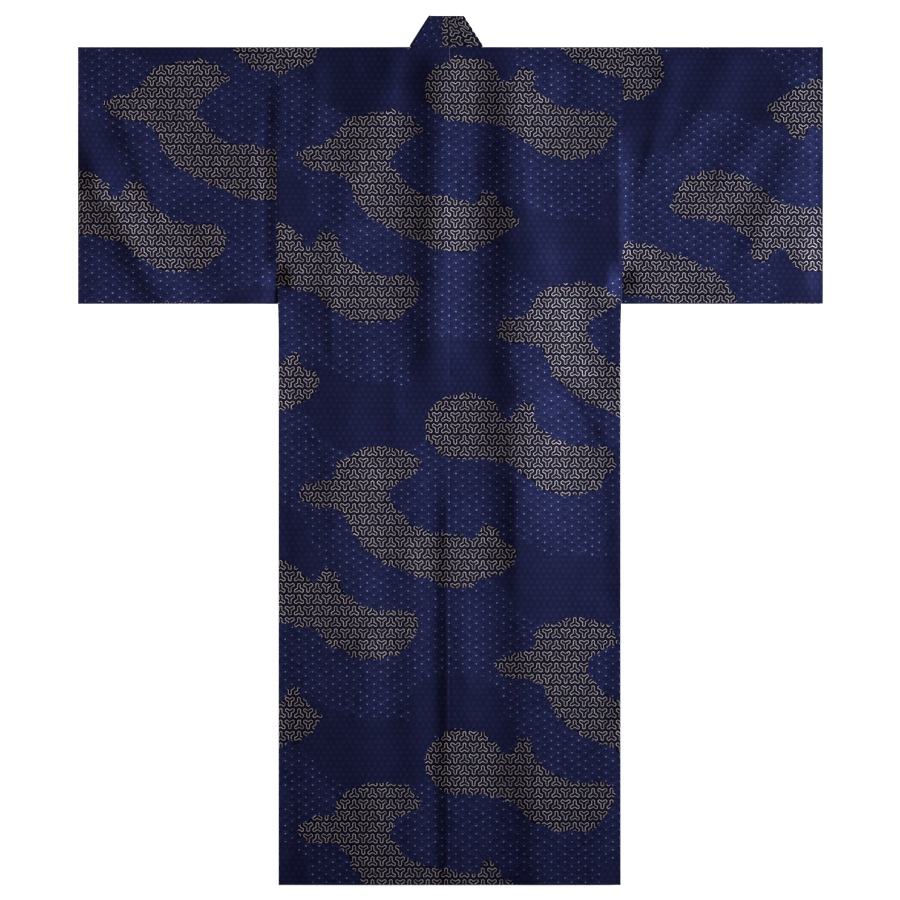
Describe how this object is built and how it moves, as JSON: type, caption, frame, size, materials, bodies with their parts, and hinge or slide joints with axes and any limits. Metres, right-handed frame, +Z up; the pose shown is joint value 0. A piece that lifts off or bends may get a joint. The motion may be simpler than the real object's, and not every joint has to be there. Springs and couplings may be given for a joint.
{
  "type": "cotton yukata robe",
  "caption": "T-shaped cotton robe laid flat with its back up: straight body, square sleeves, banded collar, wrapped fronts.",
  "frame": {"origin": "on the surface that the robe lies on, under the middle of its laid-out length and sleeve span", "axes": "+Y from the hem to the collar, +Z up out of the robe's back, wearer's left at -X"},
  "size_m": [1.2892, 1.5054, 0.0121],
  "materials": {
    "body_cloth": "matt woven cotton",
    "sleeve_cloth": "matt woven cotton",
    "okumi_cloth": "matt woven cotton",
    "collar_cloth": "matt woven cotton, doubled"
  },
  "bodies": {
    "root": {"body_left": "body_cloth", "body_right": "body_cloth", "sleeve_left": "sleeve_cloth", "sleeve_right": "sleeve_cloth", "okumi_left": "okumi_cloth", "okumi_right": "okumi_cloth", "collar": "collar_cloth"}
  },
  "joints": []
}
